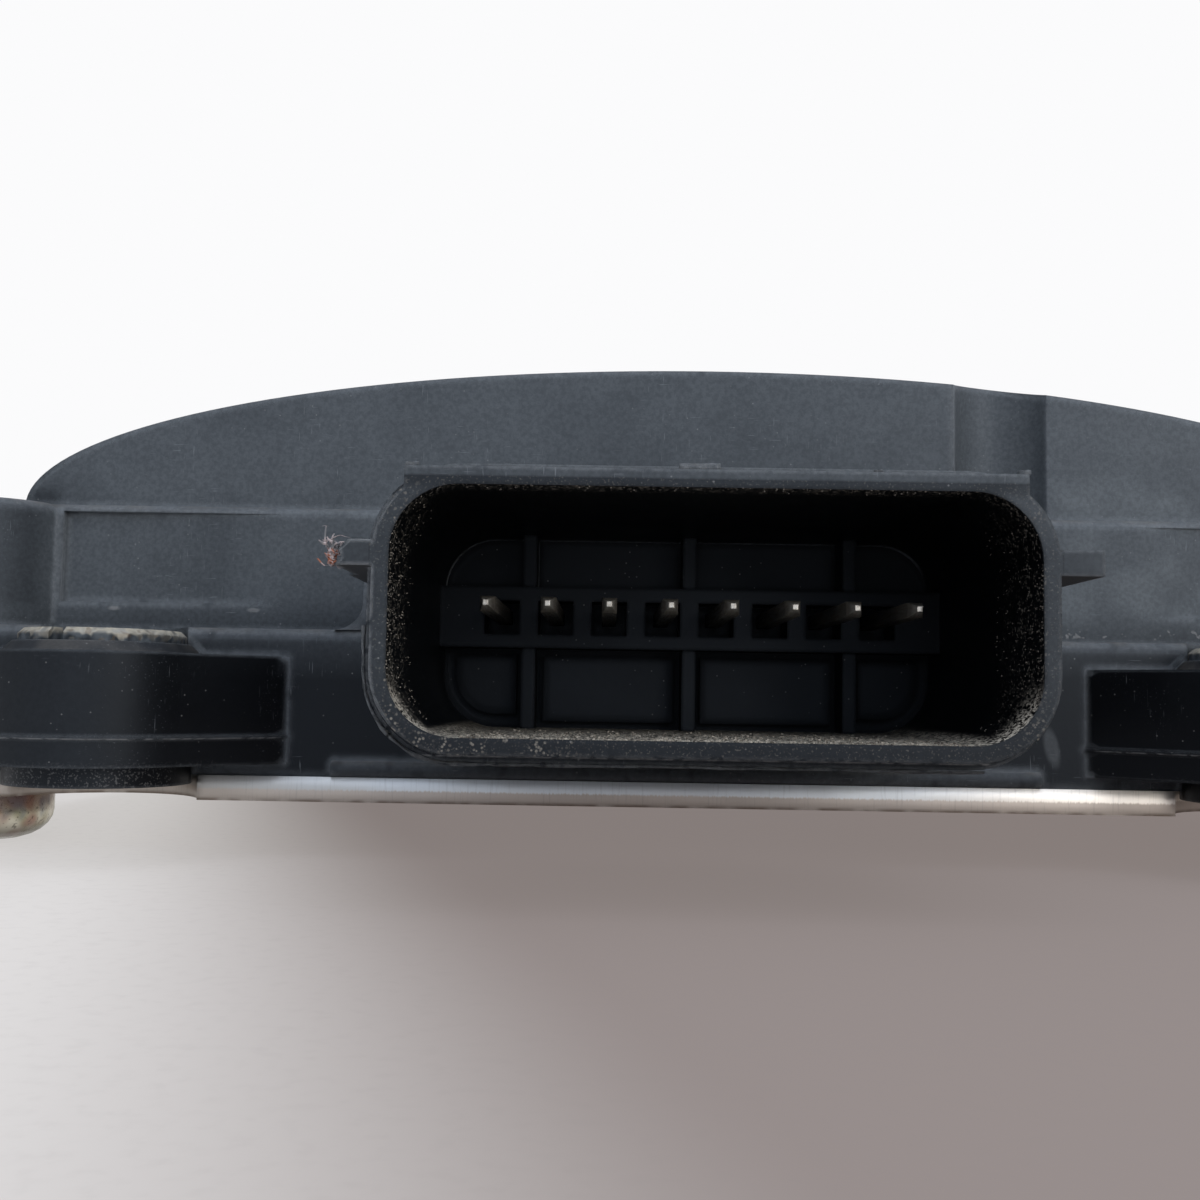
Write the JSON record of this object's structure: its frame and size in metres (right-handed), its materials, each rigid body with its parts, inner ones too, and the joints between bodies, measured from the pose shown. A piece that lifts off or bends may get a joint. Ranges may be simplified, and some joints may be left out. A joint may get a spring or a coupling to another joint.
{
  "type": "blind spot radar sensor",
  "caption": "Car blind spot radar sensor: domed plastic housing with a shrouded connector, bushed fixing ears and a screwed aluminium back plate.",
  "frame": {"origin": "centre of the back plate's outer face", "axes": "+Z out through the dome, -Y out of the connector's mouth, +X to the right seen from the connector side"},
  "size_m": [0.0874, 0.0933, 0.0294],
  "materials": {
    "moulded_plastic": "fine matte moulding texture",
    "sheet_aluminium": "rolled, with sheared edges",
    "seal_rubber": "matte",
    "zinc_plated_steel": "yellow passivated zinc",
    "bush_steel": "oxidised grey",
    "tinned_contact": "tin plated, satin",
    "sealing_resin": "cast, smooth",
    "circuit_board": "solder resist, satin",
    "antenna_laminate": "laminate with copper patches",
    "cast_shield": "die cast, matte",
    "board_screw_steel": "zinc plated",
    "chip_body": "moulded epoxy",
    "thermal_silicone": "soft, matte",
    "capacitor_can": "drawn can",
    "iron_powder": "pressed powder",
    "crystal_can": "drawn can",
    "link_plastic": "moulded"
  },
  "bodies": {
    "root": {"housing": "moulded_plastic", "back_plate": "sheet_aluminium", "plate_seal": "seal_rubber", "plate_screw_front_left": "zinc_plated_steel", "plate_screw_front_right": "zinc_plated_steel", "plate_screw_rear_left": "zinc_plated_steel", "plate_screw_rear_right": "zinc_plated_steel", "ear_bush_left": "bush_steel", "ear_bush_right": "bush_steel", "ear_bush_rear": "bush_steel", "contact_pin_1": "tinned_contact", "contact_pin_2": "tinned_contact", "contact_pin_3": "tinned_contact", "contact_pin_4": "tinned_contact", "contact_pin_5": "tinned_contact", "contact_pin_6": "tinned_contact", "contact_pin_7": "tinned_contact", "contact_pin_8": "tinned_contact", "pin_potting": "sealing_resin", "main_board": "circuit_board", "antenna_board": "antenna_laminate", "shield_frame": "cast_shield", "board_screw_1": "board_screw_steel", "board_screw_2": "board_screw_steel", "board_screw_3": "board_screw_steel", "board_screw_4": "board_screw_steel", "microcontroller": "chip_body", "thermal_pad": "thermal_silicone", "radar_transmitter": "chip_body", "radar_receiver": "chip_body", "bus_transceiver": "chip_body", "voltage_regulator": "chip_body", "power_capacitor_1": "capacitor_can", "power_capacitor_2": "capacitor_can", "power_inductor": "iron_powder", "clock_crystal": "crystal_can", "link_header": "link_plastic", "link_socket": "link_plastic"}
  },
  "joints": []
}
